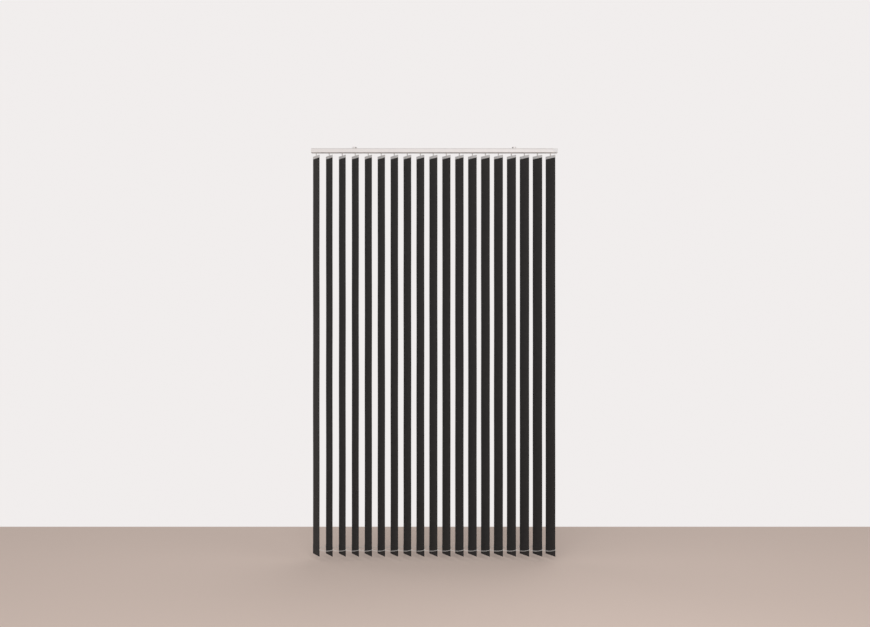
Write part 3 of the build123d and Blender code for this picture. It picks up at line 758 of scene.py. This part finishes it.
def makeHanger(number, place, body):
    middle = (hanger["top"] + hanger["bottom"]) / 2
    height = hanger["top"] - hanger["bottom"]
    inner = hanger["thick"] / 2 - hanger["leaf"]
    leafDepth = inner + hanger["leaf"] / 2
    face = hanger["thick"] / 2
    earFoot = hanger["top"] - hanger["earBite"]
    shells = []
    for side in (-1, 1):
        shells.append(plateShell(
            hanger["width"], height, hanger["corner"], hanger["leaf"], (0, middle),
            side * leafDepth, hanger["leafEdge"]))
        # a raised rim along the lower edge, and short ribs between the studs
        shells.append(plateShell(
            hanger["width"] - 2 * hanger["rimInset"], hanger["rimHeight"], hanger["rimCorner"],
            2 * hanger["ribRise"], (0, hanger["bottom"] + hanger["rimLevel"]), side * face,
            hanger["reliefEdge"]))
        for rib in range(hanger["ribs"]):
            across = (rib - (hanger["ribs"] - 1) / 2) * hanger["studPitch"]
            shells.append(plateShell(
                hanger["ribWidth"], height * hanger["ribShare"], hanger["ribCorner"],
                2 * hanger["ribRise"], (across, middle + hanger["ribLift"]), side * face,
                hanger["reliefEdge"]))
        for stud in range(hanger["studs"]):
            across = (stud - (hanger["studs"] - 1) / 2) * hanger["studPitch"]
            radius = hanger["studRadius"]
            rise = hanger["studRise"]
            rings = [(radius, -hanger["studSunk"]), (radius, rise * 0.5),
                     (radius * hanger["studShoulder"], rise),
                     (radius * hanger["studFlat"], rise)]
            points, faces = turnedShell(rings, hanger["studSides"])
            upright = np.stack([
                points[:, 0] + across, side * (face + points[:, 2]),
                points[:, 1] + hanger["bottom"] + hanger["studLevel"]], -1)
            shells.append((upright, faces))
    shells.append(plateShell(
        hanger["width"] - 2 * hanger["corner"], hanger["foldHeight"], hanger["foldCorner"],
        hanger["thick"] - hanger["softEdge"], (0, hanger["top"] - hanger["foldLevel"]), 0.0,
        hanger["softEdge"]))
    shells.append(plateShell(
        hanger["earWidth"], hanger["earTop"] - earFoot, hanger["earCorner"],
        hanger["earThick"], (0, (hanger["earTop"] + earFoot) / 2), 0.0, hanger["softEdge"]))
    for side in (-1, 1):
        # a small shoulder where the ear grows out of the plate
        shells.append(plateShell(
            hanger["shoulderWidth"], hanger["shoulderHeight"], hanger["shoulderCorner"],
            hanger["earThick"], (side * (hanger["earWidth"] / 2 + hanger["shoulderOut"]),
                                 hanger["top"] + hanger["shoulderLevel"]),
            0.0, hanger["softEdge"]))
    return addPiece(
        f"hanger_{number:02d}", [onSlat(shell, place) for shell in shells],
        hangerMoulding, body, [body])


def makeStem(number, place, body):
    collar, shaft, soft = stem["collar"], stem["shaft"], stem["soft"]
    groove = collar - stem["grooveDepth"]
    above, grooveTop, grooveFoot, below = (
        stem["collarTop"] - drop for drop in stem["grooveDrops"])
    shaftProfile = [
        (shaft, stem["pinionBottom"] + stem["pinionBite"]), (shaft, stem["collarTop"]),
        (collar - soft, stem["collarTop"]), (collar, stem["collarTop"] - soft),
        (collar, above), (groove, grooveTop), (groove, grooveFoot), (collar, below),
        (collar, stem["collarBottom"] + soft), (collar - soft, stem["collarBottom"]),
    ]
    shells = [turnedShell(shaftProfile, stem["sides"])]
    # pinion: the radius swings between root and tip once for each tooth
    sides = stem["teeth"] * stem["toothSteps"]
    angle = np.linspace(0, 2 * np.pi, sides, endpoint=False)
    swing = np.clip(stem["toothSharpness"] * np.cos(stem["teeth"] * angle), -1, 1)
    levels = [stem["pinionBottom"], stem["pinionTop"]]
    rings = []
    for level in levels:
        radius = stem["pinionRadius"] - stem["toothDepth"] * (1 - swing)
        rings.append(np.stack([
            radius * np.cos(angle), radius * np.sin(angle), np.full(sides, level)], -1))
    shells.append(ringShell(np.array(rings)))
    prongTop = stem["collarBottom"] + stem["prongBite"]
    for side in (-1, 1):
        shells.append(plateShell(
            stem["hookWidth"], prongTop - stem["hookBottom"], stem["prongCorner"],
            stem["prong"], (0, (prongTop + stem["hookBottom"]) / 2),
            side * stem["prongOffset"], stem["softEdge"]))
    # the hook's pin lies through the slat
    pinProfile = [(stem["pinRadius"], -stem["pinHalf"]), (stem["pinRadius"], stem["pinHalf"])]
    points, faces = turnedShell(pinProfile, stem["pinSides"])
    shells.append((np.stack([
        points[:, 0], points[:, 2], points[:, 1] + stem["pinLevel"]], -1), faces))
    return addPiece(
        f"stem_{number:02d}", [onSlat(shell, place) for shell in shells],
        hangerMoulding, body, [body])


# The cut strip seen from its edge: down from the hanger, round the foot, up to the hem's end.
def clothPath():
    half = cloth["thick"] / 2
    side = hemLook["gap"] / 2 + half
    hemTop = slatBottom + hemLook["height"]
    taperEnd = hemTop - hemLook["taper"]
    foot = slatBottom + side + half
    ease = np.linspace(0, 1, hemLook["easeRows"])[1:]
    smooth = ease * ease * (3 - 2 * ease)
    down = np.linspace(cloth["top"], hemTop + hemLook["ease"], cloth["rows"])
    path = [np.stack([np.zeros_like(down), down], -1)]
    path.append(np.stack([smooth * half, hemTop + hemLook["ease"] * (1 - ease)], -1))
    path.append(np.array([[half, hemTop - hemLook["overlap"]]]))
    path.append(np.stack([
        half + smooth * (side - half),
        hemTop - hemLook["overlap"] - ease * (hemLook["taper"] - hemLook["overlap"])], -1))
    sink = np.linspace(taperEnd, foot, hemLook["sideRows"])[1:]
    path.append(np.stack([np.full_like(sink, side), sink], -1))
    turn = np.linspace(0, np.pi, hemLook["foldRows"])[1:]
    path.append(np.stack([side * np.cos(turn), foot - side * np.sin(turn)], -1))
    up = np.linspace(foot, taperEnd, hemLook["sideRows"])[1:]
    path.append(np.stack([np.full_like(up, -side), up], -1))
    back = smooth[::-1]
    path.append(np.stack([
        -half - back * (side - half) * hemLook["closing"],
        taperEnd + (1 - ease[::-1]) * (hemLook["taper"] - hemLook["overlap"])], -1)[:-1])
    last = np.linspace(hemTop - hemLook["overlap"], hemTop, hemLook["endRows"])
    path.append(np.stack([np.full_like(last, -half), last], -1))
    return np.concatenate(path)


def makeCloth(number, place, body, material):
    path = clothPath()
    step = np.gradient(path, axis=0)
    step /= np.linalg.norm(step, axis=1, keepdims=True)
    normal = np.stack([-step[:, 1], step[:, 0]], -1)
    run = np.concatenate([[0], np.cumsum(np.linalg.norm(np.diff(path, axis=0), axis=1))])
    across = np.linspace(-cloth["width"] / 2, cloth["width"] / 2, cloth["columns"] + 1)
    ring = np.concatenate([across, across[::-1]])
    sign = np.concatenate([-np.ones_like(across), np.ones_like(across)])
    thickness = path[:, None, 0] + sign * normal[:, :1] * cloth["thick"] / 2
    height = path[:, None, 1] + sign * normal[:, 1:] * cloth["thick"] / 2
    # between hanger and hem the cloth is free to cup a little, sway and twist
    top, foot = cloth["top"] - cloth["held"], slatBottom + hemLook["height"]
    free = np.sin(np.pi * np.clip((top - height) / (top - foot), 0, 1)) ** cloth["fullness"]
    phase = rng.uniform(0, 2 * np.pi)
    lean = rng.uniform(-1, 1)
    share = 2 * ring[None] / cloth["width"]
    offset = cloth["cup"] * (share ** 2 - cloth["cupLevel"])
    offset = offset + cloth["wave"] * np.sin(2 * np.pi * height / cloth["waveLength"] + phase)
    offset = offset + lean * cloth["twist"] * ring[None]
    grid = np.stack([
        np.broadcast_to(ring[None], thickness.shape), thickness + free * offset, height], -1)
    points, faces = onSlat(ringShell(grid), place)
    uv = np.stack([
        np.broadcast_to(ring[None] + cloth["width"] / 2, thickness.shape),
        np.broadcast_to(run[:, None], thickness.shape)], -1).reshape(-1, 2)
    piece = addPiece(
        f"cloth_{number:02d}", [(points, faces)], material, body, [body], uv=uv)
    return piece


def makeWeight(number, place, body):
    bottom = slatBottom + weight["bottom"]
    level = slatBottom + fork["level"]
    middle = bottom + weight["height"] / 2
    plate = plateShell(
        weight["width"], weight["height"], weight["corner"], weight["thick"],
        (0, middle), 0.0, weight["edge"])
    addPiece(
        f"weight_{number:02d}", [onSlat(plate, place)], zincSteel, body, [body])
    shells = []
    neckTop = min(level + fork["half"], bottom + weight["height"])
    neckBottom = level - fork["half"]
    pinHalf = fork["half"] - fork["pinShort"]
    neckStart, neckEnd = fork["neckStart"], fork["start"] + fork["neckBite"]
    for side in (-1, 1):
        shells.append(plateShell(
            neckEnd - neckStart, neckTop - neckBottom, fork["neckCorner"],
            weight["thick"] + fork["neckProud"],
            (side * (neckStart + neckEnd) / 2, (neckTop + neckBottom) / 2), 0.0,
            weight["edge"]))
        shells.append(plateShell(
            fork["web"], 2 * fork["half"], fork["webCorner"], fork["thick"],
            (side * (fork["start"] + fork["web"] / 2), level), 0.0, fork["edge"]))
        for up in (-1, 1):
            shells.append(plateShell(
                fork["reach"] - fork["start"], fork["arm"], fork["armCorner"], fork["thick"],
                (side * (fork["start"] + fork["reach"]) / 2,
                 level + up * (fork["half"] - fork["arm"] / 2)), 0.0, fork["edge"]))
        points, faces = turnedShell(
            [(fork["pinRadius"], level - pinHalf), (fork["pinRadius"], level + pinHalf)],
            fork["pinSides"], (side * fork["pin"], 0.0))
        shells.append((points, faces))
    addPiece(
        f"chain_forks_{number:02d}", [onSlat(shell, place) for shell in shells],
        beadPlastic, body, [body])


clothRun = clothPath()
cutLength = float(np.linalg.norm(np.diff(clothRun, axis=0), axis=1).sum())
slatCloth = makeClothLook(cutLength)
for number, body in enumerate(slatBodies, start=1):
    place = stemPlaces[number - 1]
    makeHanger(number, place, body)
    makeStem(number, place, body)
    makeCloth(number, place, body, slatCloth)
    makeWeight(number, place, body)
report(f"slats, each cut {cutLength:.3f} m long")

# bottom chains
chain = dict(
    sag=0.0070, beadRadius=0.00175, beads=18, core=0.00055, coreRows=24, ringInner=0.0009,
    ringOuter=0.0015, ringHalf=0.0024, ringSoft=0.0002, ringShoulder=0.0003, ringSides=14,
    coreSides=6, coreStart=0.016, stack=0.018,
)


def makeChain(name):
    last = np.array(chainPins[name])
    starts = last[0] - slatPitch * np.arange(slatCount - 1, 0, -1)
    half = slatPitch / 2
    radius = (half ** 2 + chain["sag"] ** 2) / (2 * chain["sag"])
    swing = math.asin(half / radius)

    def hang(shares):
        # a shallow arc from pin to pin, one column of points for each span
        angle = (2 * np.asarray(shares) - 1) * swing
        x = starts[:, None] + half + radius * np.sin(angle)
        z = last[2] + (radius - chain["sag"]) - radius * np.cos(angle) + 0 * x
        return np.stack([x, np.full_like(x, last[1]), z], -1)

    beadShares = np.arange(1, chain["beads"]) / chain["beads"]
    shells = [beadShell(hang(beadShares).reshape(-1, 3), chain["beadRadius"])]
    for span in hang(
            np.linspace(chain["coreStart"], 1 - chain["coreStart"], chain["coreRows"])):
        shells.append(tubeShell(span, chain["core"], chain["coreSides"]))
    inner, outer, tall = chain["ringInner"], chain["ringOuter"], chain["ringHalf"]
    soft, shoulder = chain["ringSoft"], chain["ringShoulder"]
    foot, top = last[2] - tall, last[2] + tall
    profile = [
        (inner, foot), (outer - soft, foot), (outer, foot + shoulder),
        (outer, top - shoulder), (outer - soft, top), (inner, top),
    ]
    for x in [*starts, last[0]]:
        shells.append(turnedShell(profile, chain["ringSides"], (x, last[1]), hollow=True))
    piece = addPiece(name + "_beads", shells, beadPlastic, name, [name])
    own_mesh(piece)


makeChain("front_chain")
makeChain("rear_chain")
report("bottom chains")


# floor
def makeFloor():
    level = cadBox[0][2] - studio["floorGap"]
    half, behind = studio["floorSize"], studio["floorBehind"]
    mesh = bpy.data.meshes.new("floor")
    mesh.from_pydata(
        [(-half, -half, level), (half, -half, level),
         (half, behind, level), (-half, behind, level)], [], [(0, 1, 2, 3)])
    material, tree, shader = startMaterial("floorPaint", Roughness=studio["floorRoughness"])
    shader.inputs["Base Color"].default_value = (*studio["floorColour"], 1)
    mesh.materials.append(material)
    floor = bpy.data.objects.new("floor", mesh)
    bpy.context.collection.objects.link(floor)


makeFloor()
report("floor")
